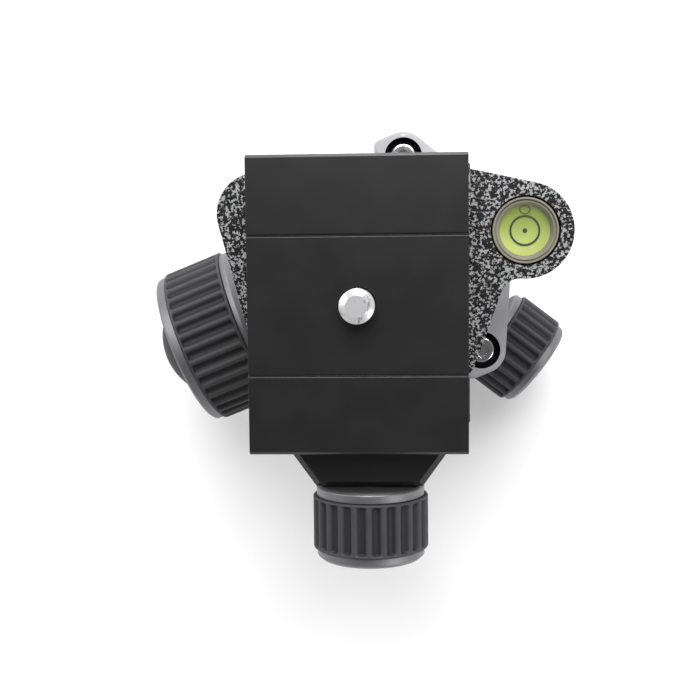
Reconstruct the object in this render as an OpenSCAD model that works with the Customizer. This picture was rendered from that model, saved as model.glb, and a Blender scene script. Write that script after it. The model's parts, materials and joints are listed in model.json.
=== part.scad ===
// Off-centre tripod ball head with a screw-clamped quick-release plate.
//
// Millimetres, +Z up. The origin is the centre of the base's foot, on the pan axis, where the
// 3/8 inch tripod screw enters. +X is to the right and +Y to the back, as seen from the clamp knob.
// Everything that belongs to the ball is placed from the ball's centre, which stands ball_shift
// from the pan axis, towards the ball-lock knob.

/* [Base] */
// Radius of the foot that stands on the tripod
base_r = 18.5; // [16:0.5:20]
// Height of the foot
base_h = 6.2; // [5:0.1:7]
// Chamfer round the foot's edges
base_chamfer = 0.8; // [0.4:0.1:1.2]
// Radius of the post that the housing turns on
post_r = 9; // [8.5:0.1:10]
// Radius of the 3/8 inch tripod thread
tripod_thread_r = 4.76; // [4.7:0.01:4.8]
// Depth of the 3/8 inch tripod thread
tripod_thread_depth = 11; // [9:0.5:12]
// Radius of the steel bush that holds the tripod thread
insert_r = 6.6; // [6.2:0.1:7]
// Thickness of the slip washer under the housing
pan_washer_t = 0.7; // [0.5:0.1:1]

/* [Ball] */
// Radius of the ball
ball_r = 14; // [13.5:0.1:14.4]
// Height of the ball's centre above the foot
ball_z = 35; // [35:0.1:35.5]
// Distance from the pan axis to the ball's centre
ball_shift = 6.2; // [5.8:0.1:6.6]
// Radius of the stem's neck
neck_r = 6.5; // [5.5:0.1:6.6]
// Radius of the stem's top flange
flange_r = 10; // [9:0.1:11]

/* [Housing] */
// Height of the housing's top rim above the ball's centre
rim_h = 5; // [4.5:0.1:5.5]
// Thickness of the clamped cap that holds the ball down
cap_t = 6; // [5.5:0.1:6.5]
// Wall round the ball's bore
bowl_wall = 4; // [3.5:0.1:4.5]
// Thickness of the two ears that carry the cap's screws, the cap's share included
ear_t = 11; // [10.5:0.1:11.5]
// Radius of each ear round its screw
ear_r = 5.1; // [4.8:0.1:5.4]
// Distance between the two cap screws
cap_screw_span = 44; // [42:0.5:46]
// Direction of the ball-lock knob, from +X
lock_angle = 201.8; // [198:0.2:206]
// Direction of the portrait notch, from +X
notch_angle = 120; // [116:1:124]

/* [Knobs] */
// How far the ball-lock knob's axis lies below the ball's centre
lock_drop = 4; // [3.5:0.1:4.5]
// Radius of the ball-lock knob's rubber grip
lock_grip_r = 17.2; // [16:0.1:17.4]
// Length of the ball-lock knob
lock_knob_len = 16.7; // [15:0.1:18]
// Ridges round the ball-lock knob
lock_ridges = 36; // [24:1:40]
// Radius of the friction dial in the ball-lock knob
dial_r = 10.5; // [9:0.1:11.5]
// How far the friction dial's dome stands out
dial_dome = 5; // [3:0.1:6]
// Radius of the rubber grip on the clamp knob and the pan knob
small_grip_r = 11; // [10:0.1:11.2]
// Length of the clamp knob and the pan knob
small_knob_len = 14.2; // [13:0.1:15]
// Ridges round the clamp knob and the pan knob
small_ridges = 24; // [18:1:28]
// Direction of the pan knob, from +X
pan_angle = -37.5; // [-42:0.5:-34]
// How far the pan knob's axis lies below the top of the base's post
pan_drop = 2.2; // [2:0.1:2.4]
// Distance from the pan axis to the inner end of the pan knob
pan_knob_x = 25.6; // [25.4:0.1:27]

/* [Clamp] */
// Length of the stem, from the ball's centre to the casting's underside
stem_h = 25; // [24.5:0.1:25.5]
// Thickness of the casting, up to the seat of the plate
casting_t = 8; // [7.8:0.1:8.4]
// Radius of the ear that carries the bubble level
level_ear_r = 8.9; // [8.5:0.1:9.5]
// Radius of the bubble level's cup
level_r = 6.1; // [5.5:0.1:6.4]
// Height of the clamp knob's axis above the casting's underside
clamp_axis_h = 4.4; // [4.2:0.1:4.6]
// Radius of the clamp screw, M6
clamp_screw_r = 3; // [2.5:0.1:3]
// Distance from the ball's axis to the front face of the jaw's nose
nose_y = 39.4; // [38:0.1:41]

/* [Plate] */
// Length of the camera plate along the clamp
plate_l = 39.3; // [36:0.1:44]
// Width of the camera plate across the clamp
plate_w = 53.4; // [52:0.1:56]
// Thickness of the camera plate
plate_t = 10; // [9.6:0.1:11]
// Thickness of the plate's top flange
plate_flange_t = 4; // [3.6:0.1:4.4]
// Distance between the two fine grooves across the plate
groove_span = 24.9; // [20:0.1:30]
// Radius of the 1/4 inch camera screw
camera_screw_r = 3.175; // [3:0.005:3.2]
// Height of the camera screw above the plate
camera_screw_h = 5; // [4:0.1:6]

/* [Hidden] */
$fn = 96;

// Clearances.
fit = 0.06;          // Radial play of a turning or sliding fit.
gap = 0.3;           // Space between neighbours that move past each other.
bite = 0.02;         // How far a cutting tool runs past the face that it cuts.

// Finishes.
black = [0.13, 0.13, 0.14];
rubber = [0.20, 0.20, 0.21];
silver = [0.70, 0.70, 0.72];
chrome = [0.82, 0.82, 0.84];
casting_grey = [0.42, 0.42, 0.43];
light_grey = [0.78, 0.78, 0.80];
brass = [0.72, 0.60, 0.35];
nylon = [0.90, 0.90, 0.86];
lime = [0.72, 0.85, 0.35];

// Heights that follow the ball.
seat_under_ball = 0.5;                           // The ball's seat starts this far below the ball.
seat_gap = 0.1;
disc_t = 1.2;                                    // Retaining disc on top of the post.
post_top = ball_z - ball_r - seat_under_ball - seat_gap - disc_t;
rim_z = ball_z + rim_h;
lock_z = ball_z - lock_drop;
pan_knob_z = post_top - pan_drop;
casting_z = ball_z + stem_h;

// Pan joint.
insert_floor = 1;                                // Metal of the steel bush above its thread.
disc_r = post_r + 3;
retaining_screw_r = 2;
retaining_head_r = 3.6;
retaining_head_t = 0.9;
retaining_screw_end = tripod_thread_depth + insert_floor + 0.5;
washer_inset = 1.5;
housing_foot_z = base_h + pan_washer_t;
collar_r = base_r - 0.4;
collar_chamfer = 0.6;
post_bore_r = post_r + fit;
disc_bore_r = disc_r + gap;
disc_bore_z = post_top - gap;
disc_top = post_top + disc_t;

// Ball and its bore. ball_at() moves to the ball's centre.
ball_x = ball_shift * cos(lock_angle);
ball_y = ball_shift * sin(lock_angle);
socket_r = ball_r + fit;                         // Spherical faces that bear on the ball.
bore_r = socket_r + 0.25;                        // Straight bore below the cap.
seat_floor = disc_top + seat_gap;
seat_t = 4;
seat_r = bore_r - fit;
split_z = rim_z - cap_t;                         // Joint between housing and cap.
bowl_r = bore_r + bowl_wall;
ear_z = rim_z - ear_t;
notch_r = neck_r + 0.8;

// Cap screws: their line crosses the lock axis cap_screw_back behind the pan axis.
cap_screw_back = 9.1;
cap_screw_offset = -1.7;
cap_screw_y = [cap_screw_offset + cap_screw_span / 2, cap_screw_offset - cap_screw_span / 2];
cap_step = 0.5;                                  // Relief round the cap's top edge.
cap_joint = 0.1;                                 // Gap between the cap and the lock's nose.
ear_corner = 3.6;                                // How far each ear is squared off beyond its screw.
cap_screw_r = 2.1;
cap_screw_head_r = 3.1;
cap_screw_head_t = 3.4;
cap_screw_key_r = 1.5;
cap_screw_spare = 1;                             // The screw ends this far above the ear's underside.
counterbore_r = 3.9;
counterbore_floor = 1.6;
counterbore_depth = cap_t - counterbore_floor;
rib_x = 14.2;                                    // Rounded back of the housing.
rib_r = 10.6;
ear_root_x = 8.2;                                // Where the ears run into the housing's back.
bowl_foot_h = 6;                                 // The round wall starts this far above the foot.
skirt_foot_h = 4;                                // The skirt's lower edge, above the foot.
skirt_lift = 1;                                  // The skirt's upper edge, above the ears' underside.
skirt_band = 1;                                  // Height of the bands that the skirt joins.
skirt_inset = 0.4;
skirt_fn = 48;
far = 60;                                        // Longer than the head is high.

// Ball lock: distances run from the ball's axis along the knob's axis.
lock_end = bowl_r + 9.2;                         // End of the housing's nose.
lock_nose_r = 10;
lock_knob_x = lock_end + gap;
piston_front = 6;                                // The piston's blank starts inside the ball.
piston_r = 6;
piston_x = bowl_r + 1.5;                         // Back of the piston.
pad_t = 1.2;
lock_screw_r = 4;
lock_bush_r = 6.4;
lock_bush_x = piston_x + 2.2;
lock_ring = [1.8, 2.1];                          // Widths of the inner and outer silver rings.
lock_core_r = lock_grip_r - 0.5;
lock_seat_r = lock_grip_r - 2.6;
dial_recess = 3;
dial_floor_gap = 0.1;

// Pan lock: distances run from the pan axis along the knob's axis.
pan_boss_r = 6.2;
pan_boss_x = pan_knob_x - gap;
pan_boss_root = post_r + 1;
pan_screw_r = 2.5;
pan_shoe_r = 3.2;
pan_shoe_t = 3.3;
pan_shoe_top = 1.3;                              // Flat on the shoe, which passes under the disc.
pan_shoe_room = 2.5;                             // Travel behind the shoe.
pan_groove_depth = 0.8;
pan_groove_overrun = 1;
pan_shoe_bite = 0.1;                             // The shoe stops short of the groove's floor.

// Small knobs.
small_ring = [2, 2];
small_core_r = small_grip_r - 0.7;
small_seat_r = small_grip_r - 2.2;
small_dish = [0.8, 1.6, 1.5];                    // Dish in the outer face: depth, rim and hub.
small_spindle_inset = 1.5;

// Rubber grips.
grip_gap = 0.05;                                 // Play between a grip and each ring.
grip_land = 1;                                   // The grooves stop this far from both ends.
grip_roll = 0.85;                                // Radius of the rolled ends.
grip_shoulder = 0.05;                            // The rolled ends lie this far below the ridges.
groove_depth = 0.7;
groove_share = 0.3;                              // Radius of a groove, as a share of its pitch.

// Clamp: distances run from the ball's axis.
seat_z = casting_z + casting_t;
clamp_knob_z = casting_z + clamp_axis_h;
stem_pin_r = 4;
stem_pin_h = casting_t - 2.6;
stem_root = 3;                                   // The neck starts this far inside the ball.
neck_flare = [0.6, 5.5, 4];                      // Neck's flare: width, start and end below the top.
flange_edge = [1, 2, 1.4];                       // Flange's underside: inset, start and end below the top.
bolt_r = 1.6;
bolt_bore = 3;                                   // Depth of the bolt's bore below the casting.
bolt_reach = 2.5;
bolt_key = [1.8, 0.5];                           // Hexagon's radius and floor.
bolt_head_r = 5;
bolt_head_t = 1.3;                               // Stays below the plate's stops.
level_x = 29.1;
level_y = 8;
level_depth = 4.6;
level_rim = 0.2;                                 // The cup's rim lies this far below the seat.
level_wall = 0.5;
level_floor = 0.8;
liquid_t = 1.9;
bubble_y = 3.7;
bubble_r = 1;
bubble_t = 0.5;
jaw_play = 0.3;                                  // Gap between casting and jaw when closed.
front_y = -19;                                   // Front edge of the casting.
nose_top = seat_z + 2;
nose_bottom = casting_z - 0.6;
nose_w = [25.6, 20];                             // Nose widths, at the plate's edge and at its front.
jaw_pin_r = 1.6;
jaw_pin_x = 11;
jaw_pin_len = 12;
clamp_bore_end = -8;                             // Inner end of the clamp screw's thread.
clamp_spindle_spare = 1;
jaw_foot_w = 6;                                  // The jaw widens this much on each side of the nose.
jaw_foot_h = 5;                                  // Where the widening ends, behind the plate's edge.
jaw_chamfer = 1;
jaw_pin_press = 5.5;                             // Length of a pin inside the jaw.
jaw_pin_gap = 0.5;

// The casting in plan is a belt laid round discs: x, y and radius, from the ball's axis. The
// disc with a negative radius presses on the belt from outside and makes the concave fillet.
rim_round = 0.9;                                 // Rounding of the casting's rims.
rim_steps = 3;
fillet_r = 3.5;
fillet_angle = -95.2;                            // From the level's centre to the fillet's.
front_corner_r = 3;
front_corner_y = front_y + front_corner_r;
casting_discs = [
    [-18, front_corner_y, front_corner_r],
    [16.9, front_corner_y, front_corner_r],
    [
        level_x + (level_ear_r + fillet_r) * cos(fillet_angle),
        level_y + (level_ear_r + fillet_r) * sin(fillet_angle), -fillet_r
    ],
    [level_x, level_y, level_ear_r],
    [17.5, 15.6, 4],
    [-20.5, 11.6, 7.6]
];
belt_step = 9;                                   // Degrees between the points of an arc.

// Camera plate: its centre from the ball's axis, and its dovetail.
plate_x = -1.6;
plate_y = -5.2;
dovetail_neck = 17;
dovetail_foot = 20.6;
dovetail_h = plate_t - plate_flange_t;
dovetail_land = 1.6;                             // Upright part at the bottom of the dovetail.
jaw_gap = 0.1;                                   // Play between dovetail and jaws.
jaw_wall = 4.4;
jaw_h = dovetail_h - 0.5;
jaw_inset = [1, 3];                              // The jaws end this far inside the plate's ends.
plate_edge = 0.5;                                // Chamfer along the plate's long edges.
plate_groove = [0.3, 0.35];                      // Half width and depth of the fine grooves.
plate_hole_play = 0.15;
screw_head_r = 7.4;
screw_head_t = 2.4;
screw_shank_r = 2.5;                             // Plain shank that keeps the screw captive.
screw_lift = 0.3;                                // The head hangs this far above the seat.
screw_tip = [1, 0.7];                            // Width and height of the screw's chamfer.
screw_slot = [1.6, 1.2];                         // Width and depth of the slot in its head.
clip_t = 0.4;
clip_w = 2.875;
clip_slot = 1.2;
clip_gap = 0.05;
clip_room = 0.8;                                 // Depth of the plate's recess beyond the head.
stop_r = 1.5;
stop_shank_r = 1.05;
stop_shank_h = 3.5;
stop_drop = 1.1;
stop_x = 9;
stop_y = 8;
stop_travel = 8;                                 // Slide of the plate each way.

// --- Placing ---------------------------------------------------------------------------------

// Turns +Z to point outwards, level, in the direction of angle.
module outward(angle) {
    rotate([0, 0, angle]) rotate([0, 90, 0]) children();
}

module ball_at(z = 0) {
    translate([ball_x, ball_y, z]) children();
}

module lock_at(x = 0) {
    ball_at(lock_z) outward(lock_angle) translate([0, 0, x]) children();
}

module pan_at(x = 0) {
    translate([0, 0, pan_knob_z]) outward(pan_angle) translate([0, 0, x]) children();
}

// Along the clamp screw, outwards to the front.
module clamp_at(y = 0) {
    ball_at(clamp_knob_z) outward(-90) translate([0, 0, y]) children();
}

// A place on the housing, with x away from the ball-lock knob and y across it.
module housing_frame(z = 0) {
    translate([0, 0, z]) rotate([0, 0, lock_angle - 180]) children();
}

// --- Shared shapes ---------------------------------------------------------------------------

// A disc or drum with both edges chamfered, from z = 0 to h.
module drum(r, h, chamfer = 0.3) {
    rotate_extrude()
        polygon([[0, 0], [r - chamfer, 0], [r, chamfer], [r, h - chamfer], [r - chamfer, h], [0, h]]);
}

// Aluminium core of a knob: a spool with a silver ring at each end and a seat for the rubber.
module knob_core(r, len, rings, seat_r, bore_r, chamfer = 0.5) {
    difference() {
        rotate_extrude() polygon([
            [bore_r, 0], [r - chamfer, 0], [r, chamfer], [r, rings[0]], [seat_r, rings[0]],
            [seat_r, len - rings[1]], [r, len - rings[1]], [r, len - chamfer], [r - chamfer, len],
            [bore_r, len]
        ]);
        children();
    }
}

// Rubber grip of a knob: a ring with round grooves that stop short of its rolled ends.
module knob_grip(r, len, rings, seat_r, ridges) {
    inner = seat_r + fit;
    grip_len = len - rings[0] - rings[1] - 2 * grip_gap;
    groove_r = groove_share * 2 * PI * r / ridges;
    end_r = r - grip_shoulder;
    translate([0, 0, rings[0] + grip_gap]) {
        translate([0, 0, grip_land]) linear_extrude(grip_len - 2 * grip_land) difference() {
            circle(r);
            circle(inner);
            for (i = [0:ridges - 1]) rotate(i * 360 / ridges)
                translate([r + groove_r - groove_depth, 0]) circle(groove_r);
        }
        for (end = [0, 1]) translate([0, 0, end * grip_len]) mirror([0, 0, end]) rotate_extrude()
            polygon(concat(
                [[inner, grip_land], [inner, 0]],
                [for (a = [0:22.5:90]) [end_r - grip_roll * (1 - sin(a)), grip_roll * (1 - cos(a))]],
                [[end_r, grip_land]]
            ));
    }
}

// A socket-head screw that points down from the seat of its head at z = 0.
module socket_screw(r, len, head_r, head_t, key_r) {
    difference() {
        union() {
            drum(head_r, head_t, 0.3);
            translate([0, 0, -len]) cylinder(r = r, h = len + bite);
        }
        translate([0, 0, head_t * 0.45]) cylinder(r = key_r, h = head_t, $fn = 6);
    }
}

// --- Base and pan joint ----------------------------------------------------------------------

module base() {
    color(black) difference() {
        union() {
            drum(base_r, base_h, base_chamfer);
            translate([0, 0, base_h - bite]) cylinder(r = post_r, h = post_top - base_h + bite);
        }
        translate([0, 0, -bite]) cylinder(r = insert_r, h = tripod_thread_depth + insert_floor + bite);
        translate([0, 0, base_chamfer]) cylinder(r = retaining_screw_r, h = post_top);
        // Groove that the pan lock's shoe presses into.
        translate([0, 0, pan_knob_z]) rotate_extrude()
            polygon([
                [post_r - pan_groove_depth, -pan_shoe_r - fit], [post_r + pan_groove_overrun, -pan_shoe_r - fit],
                [post_r + pan_groove_overrun, pan_shoe_top + fit], [post_r - pan_groove_depth, pan_shoe_top + fit]
            ]);
    }
}

module thread_insert() {
    color(silver) difference() {
        cylinder(r = insert_r, h = tripod_thread_depth + insert_floor);
        translate([0, 0, -bite]) cylinder(r = tripod_thread_r, h = tripod_thread_depth + bite);
    }
}

module pan_washer() {
    color(nylon) translate([0, 0, base_h]) difference() {
        cylinder(r = base_r - washer_inset, h = pan_washer_t);
        translate([0, 0, -bite]) cylinder(r = post_r + gap, h = pan_washer_t + 2 * bite);
    }
}

module retaining_disc() {
    color(silver) translate([0, 0, post_top]) difference() {
        cylinder(r = disc_r, h = disc_t);
        translate([0, 0, -bite]) cylinder(r = retaining_screw_r + gap, h = disc_t + 2 * bite);
        translate([0, 0, disc_t - retaining_head_t]) cylinder(r = retaining_head_r + gap, h = disc_t);
    }
}

module retaining_screw() {
    head_z = disc_top - retaining_head_t;
    color(chrome) {
        translate([0, 0, head_z]) cylinder(r = retaining_head_r, h = retaining_head_t);
        translate([0, 0, retaining_screw_end])
            cylinder(r = retaining_screw_r, h = head_z - retaining_screw_end + bite);
    }
}

// --- Housing ---------------------------------------------------------------------------------

// One screw ear in plan, blended into the bowl.
module ear_outline(y) {
    hull() {
        translate([cap_screw_back, y]) circle(ear_r);
        translate([cap_screw_back - ear_corner, y + sign(y) * ear_corner]) circle(ear_r - ear_corner);
        translate([ear_root_x, 0]) circle(rib_r);
    }
}

// The two screw ears and the rounded back, in plan.
module back_outline() {
    hull() for (y = cap_screw_y) {
        translate([cap_screw_back, y]) circle(ear_r);
        translate([rib_x, 0]) circle(rib_r);
    }
    for (y = cap_screw_y) ear_outline(y);
}

// The cap in plan: the ears, the back and the bowl round the ball.
module cap_outline() {
    translate([-ball_shift, 0]) circle(bowl_r);
    back_outline();
}

// Space for the ball, its stem in the portrait notch, and the lock's piston.
module ball_space() {
    ball_at() {
        translate([0, 0, seat_floor]) cylinder(r = bore_r, h = ball_z - seat_floor);
        translate([0, 0, ball_z]) sphere(r = socket_r);
    }
    ball_at(ball_z) outward(notch_angle) cylinder(r = notch_r, h = far);
    ball_at(ball_z) rotate([0, 0, notch_angle])
        translate([0, -notch_r, 0]) cube([far, 2 * notch_r, ball_r]);
    lock_at() cylinder(r = piston_r + fit, h = lock_bush_x);
}

// Round nose that carries the lock's bush. The cap sits on it, over the ball's bore.
module lock_nose() {
    difference() {
        lock_at() cylinder(r = lock_nose_r, h = lock_end);
        ball_at(split_z) cylinder(r = bowl_r + cap_joint, h = lock_nose_r);
    }
}

module housing() {
    color(light_grey) difference() {
        union() {
            translate([0, 0, housing_foot_z]) drum(collar_r, disc_bore_z - housing_foot_z, collar_chamfer);
            ball_at(housing_foot_z + bowl_foot_h)
                cylinder(r = bowl_r, h = split_z - housing_foot_z - bowl_foot_h);
            housing_frame(ear_z) linear_extrude(split_z - ear_z) back_outline();
            // Skirt from the ears and the back down to the collar, just inside the round walls.
            hull() {
                housing_frame(ear_z + skirt_lift) linear_extrude(skirt_band) {
                    translate([rib_x, 0]) circle(rib_r - skirt_inset, $fn = skirt_fn);
                    translate([-ball_shift, 0]) circle(bowl_r - skirt_inset, $fn = skirt_fn);
                }
                translate([0, 0, housing_foot_z + skirt_foot_h])
                    cylinder(r = collar_r - skirt_inset, h = skirt_band, $fn = skirt_fn);
            }
            lock_nose();
            pan_at(pan_boss_root) cylinder(r = pan_boss_r, h = pan_boss_x - pan_boss_root);
        }
        ball_space();
        translate([0, 0, housing_foot_z - bite]) cylinder(r = post_bore_r, h = far);
        translate([0, 0, disc_bore_z]) cylinder(r = disc_bore_r, h = seat_floor - disc_bore_z + bite);
        lock_at(lock_bush_x - bite) cylinder(r = lock_bush_r, h = lock_end);
        pan_at() cylinder(r = pan_shoe_r + fit, h = post_r + pan_shoe_t + pan_shoe_room);
        pan_at() cylinder(r = pan_screw_r + fit, h = pan_knob_x);
        for (y = cap_screw_y) housing_frame(ear_z - bite)
            translate([cap_screw_back, y]) cylinder(r = cap_screw_r, h = ear_t);
    }
}

module housing_cap() {
    color(light_grey) difference() {
        housing_frame(split_z) {
            linear_extrude(cap_t - cap_step) cap_outline();
            translate([0, 0, cap_t - cap_step - bite]) linear_extrude(cap_step + bite)
                offset(delta = -cap_step) cap_outline();
        }
        ball_space();
        for (y = cap_screw_y) housing_frame(split_z) translate([cap_screw_back, y]) {
            translate([0, 0, -bite]) cylinder(r = cap_screw_r + gap, h = cap_t);
            translate([0, 0, cap_t - counterbore_depth]) cylinder(r = counterbore_r, h = cap_t);
        }
    }
}

module cap_screws() {
    color(chrome) for (y = cap_screw_y) housing_frame(rim_z - counterbore_depth)
        translate([cap_screw_back, y])
            socket_screw(
                cap_screw_r, ear_t - counterbore_depth - cap_screw_spare,
                cap_screw_head_r, cap_screw_head_t, cap_screw_key_r
            );
}

module ball_seat() {
    color(nylon) difference() {
        ball_at(seat_floor) cylinder(r = seat_r, h = seat_t);
        ball_at(ball_z) sphere(r = socket_r);
        translate([0, 0, seat_floor - bite]) cylinder(r = retaining_head_r + gap, h = seat_t);
    }
}

// --- Ball lock -------------------------------------------------------------------------------

module lock_bush() {
    color(brass) lock_at(lock_bush_x) difference() {
        cylinder(r = lock_bush_r, h = lock_end - lock_bush_x);
        translate([0, 0, -bite]) cylinder(r = lock_screw_r + fit, h = lock_end);
    }
}

module piston_blank(from, to) {
    difference() {
        lock_at(from) cylinder(r = piston_r, h = to - from);
        children();
    }
}

module lock_piston() {
    color(silver) piston_blank(piston_front, piston_x)
        ball_at(ball_z) sphere(r = socket_r + pad_t);
}

module brake_pad() {
    color(nylon) intersection() {
        piston_blank(piston_front, piston_x) ball_at(ball_z) sphere(r = socket_r);
        ball_at(ball_z) sphere(r = socket_r + pad_t);
    }
}

module lock_spindle() {
    color(chrome) lock_at(piston_x) {
        cylinder(r = lock_screw_r, h = lock_knob_x - piston_x + lock_knob_len - dial_recess);
    }
}

module lock_knob_core() {
    color(silver) lock_at(lock_knob_x)
        knob_core(lock_core_r, lock_knob_len, lock_ring, lock_seat_r, lock_screw_r)
            translate([0, 0, lock_knob_len - dial_recess]) cylinder(r = dial_r + gap, h = dial_recess + bite);
}

module lock_knob_grip() {
    color(rubber) lock_at(lock_knob_x)
        knob_grip(lock_grip_r, lock_knob_len, lock_ring, lock_seat_r, lock_ridges);
}

// Domed dial that sets the least friction.
module friction_dial() {
    dome_r = (dial_r * dial_r + dial_dome * dial_dome) / (2 * dial_dome);
    rise = dial_recess - dial_floor_gap;
    color(black) lock_at(lock_knob_x + lock_knob_len - rise) {
        cylinder(r = dial_r, h = rise);
        translate([0, 0, rise - bite]) intersection() {
            translate([0, 0, dial_dome - dome_r]) sphere(r = dome_r);
            cylinder(r = dial_r, h = dial_dome);
        }
    }
}

// --- Pan lock --------------------------------------------------------------------------------

module pan_shoe() {
    color(brass) difference() {
        pan_at() cylinder(r = pan_shoe_r, h = post_r + pan_shoe_t);
        cylinder(r = post_r - pan_groove_depth + pan_shoe_bite, h = rim_z);
        translate([0, 0, pan_knob_z + pan_shoe_top]) cylinder(r = base_r, h = pan_shoe_r);
    }
}

module pan_spindle() {
    color(chrome) pan_at(post_r + pan_shoe_t)
        cylinder(r = pan_screw_r, h = pan_knob_x + small_knob_len - small_spindle_inset - post_r - pan_shoe_t);
}

// A knob of the smaller size, closed by its own outer face.
module small_knob_core() {
    knob_core(small_core_r, small_knob_len, small_ring, small_seat_r, pan_screw_r)
        translate([0, 0, small_knob_len - small_dish[0]]) difference() {
            cylinder(r = small_core_r - small_dish[1], h = small_dish[0] + bite);
            translate([0, 0, -bite]) cylinder(r = pan_screw_r + small_dish[2], h = small_knob_len);
        }
}

module small_knob_grip() {
    knob_grip(small_grip_r, small_knob_len, small_ring, small_seat_r, small_ridges);
}

module pan_knob_core() {
    color(silver) pan_at(pan_knob_x) small_knob_core();
}

module pan_knob_grip() {
    color(rubber) pan_at(pan_knob_x) small_knob_grip();
}

// --- Ball and stem ---------------------------------------------------------------------------

module ball() {
    color(chrome) ball_at(ball_z) sphere(r = ball_r);
}

// Neck, flange and pin of the stem, turned about the ball's axis.
module ball_stem() {
    color(silver) ball_at(ball_z) difference() {
        rotate_extrude() polygon([
            [0, ball_r - stem_root], [neck_r, ball_r - stem_root], [neck_r, stem_h - neck_flare[1]],
            [neck_r + neck_flare[0], stem_h - neck_flare[2]],
            [flange_r - flange_edge[0], stem_h - flange_edge[1]], [flange_r, stem_h - flange_edge[2]],
            [flange_r, stem_h], [stem_pin_r, stem_h], [stem_pin_r, stem_h + stem_pin_h],
            [0, stem_h + stem_pin_h]
        ]);
        sphere(r = ball_r + gap);
        translate([0, 0, stem_h - bolt_bore]) cylinder(r = bolt_r, h = bolt_bore + casting_t);
    }
}

module clamp_bolt() {
    color(chrome) ball_at(casting_z + stem_pin_h) {
        difference() {
            cylinder(r = bolt_head_r, h = bolt_head_t);
            translate([0, 0, bolt_key[1]]) cylinder(r = bolt_key[0], h = bolt_head_t, $fn = 6);
        }
        translate([0, 0, -stem_pin_h - bolt_reach]) cylinder(r = bolt_r, h = stem_pin_h + bolt_reach + bite);
    }
}

// --- Clamp -----------------------------------------------------------------------------------

// Direction, as seen from both discs, in which the belt leaves disc a and meets disc b.
function belt_normal(a, b) =
    let (way = [b.x - a.x, b.y - a.y])
    atan2(way.y, way.x) - acos(min(1, (a.z - b.z) / norm(way)));

// The belt bends by this angle round a disc: to the left, or to the right where it presses in.
function belt_bend(from, to, r) =
    let (turn = to - from, whole = turn - 360 * floor(turn / 360))
    r < 0 ? whole - 360 : whole;

// Points of the belt round some discs, anticlockwise and drawn in by inset.
function belt(discs, inset = 0) =
    let (n = len(discs))
    [for (i = [0:n - 1])
        let (
            disc = discs[i], r = disc.z - inset,
            from = belt_normal(discs[(i + n - 1) % n], disc),
            bend = belt_bend(from, belt_normal(disc, discs[(i + 1) % n]), disc.z),
            count = max(2, ceil(abs(bend) / belt_step))
        )
        for (k = [0:count]) [disc.x + r * cos(from + bend * k / count), disc.y + r * sin(from + bend * k / count)]
    ];

// A slab in the shape of a belt, with its lower and upper rims rounded over.
module belt_slab(discs, t, rim_r) {
    rim = [for (k = [0:rim_steps]) let (a = 90 * k / rim_steps) [rim_r * (1 - sin(a)), rim_r * (1 - cos(a))]];
    rows = concat(rim, [for (k = [rim_steps:-1:0]) [rim[k][0], t - rim[k][1]]]);
    n = len(belt(discs));
    polyhedron(
        points = [for (row = rows) for (p = belt(discs, row[0])) [p.x, p.y, row[1]]],
        faces = concat(
            [[for (k = [0:n - 1]) k]],
            [for (j = [0:len(rows) - 2], k = [0:n - 1])
                [j * n + k, (j + 1) * n + k, (j + 1) * n + (k + 1) % n, j * n + (k + 1) % n]],
            [[for (k = [n - 1:-1:0]) (len(rows) - 1) * n + k]]
        )
    );
}

// Dovetail jaw: its face towards +Y at y = 0, the neck's slope above.
module jaw_section() {
    foot = dovetail_foot + jaw_gap;
    slope = (dovetail_foot - dovetail_neck) / (dovetail_h - dovetail_land);
    lip = foot - slope * (jaw_h - dovetail_land);
    polygon([[foot, 0], [foot, dovetail_land], [lip, jaw_h], [foot + jaw_wall, jaw_h], [foot + jaw_wall, 0]]);
}

// A bar along X with a section drawn in Y and Z, centred on x = 0.
module bar(len) {
    rotate([90, 0, 90]) translate([0, 0, -len / 2]) linear_extrude(len) children();
}

module clamp_casting() {
    color(casting_grey) difference() {
        ball_at(casting_z) {
            belt_slab(casting_discs, casting_t, rim_round);
            translate([0, plate_y, casting_t - bite]) bar(plate_l - 2 * jaw_inset[0]) jaw_section();
        }
        ball_at(casting_z - bite) cylinder(r = stem_pin_r + fit, h = casting_t);
        ball_at(casting_z + stem_pin_h) cylinder(r = bolt_head_r + gap, h = casting_t);
        ball_at(seat_z - level_depth) translate([level_x, level_y])
            cylinder(r = level_r + fit, h = level_depth + bite);
        clamp_at(-clamp_bore_end) cylinder(r = clamp_screw_r + fit, h = nose_y);
        for (side = [-1, 1]) clamp_at(-front_y - jaw_pin_len) translate([0, side * jaw_pin_x])
            cylinder(r = jaw_pin_r + fit, h = nose_y);
        // Groove that the plate's stop screws run in.
        for (side = [-1, 1]) ball_at(seat_z - stop_drop - gap)
            translate([plate_x + side * stop_x - stop_travel - stop_r - gap, plate_y + stop_y - stop_r - gap, 0])
                cube([2 * (stop_travel + stop_r + gap), 2 * (stop_r + gap), stop_drop + gap + bite]);
    }
}

module level_cup() {
    color(nylon) ball_at(seat_z - level_depth) translate([level_x, level_y]) difference() {
        cylinder(r = level_r, h = level_depth - level_rim);
        translate([0, 0, level_floor]) cylinder(r = level_r - level_wall, h = level_depth);
    }
}

module level_liquid() {
    color(lime) ball_at(seat_z - level_depth + level_floor) translate([level_x, level_y]) difference() {
        cylinder(r = level_r - level_wall, h = liquid_t);
        translate([0, bubble_y, liquid_t - bubble_t]) cylinder(r = bubble_r, h = bubble_t + bite);
    }
}

// The bubble floats under the lens, and has drifted towards the back.
module level_bubble() {
    color(nylon) ball_at(seat_z - level_depth + level_floor + liquid_t - bubble_t)
        translate([level_x, level_y + bubble_y]) cylinder(r = bubble_r - fit, h = bubble_t);
}

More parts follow.
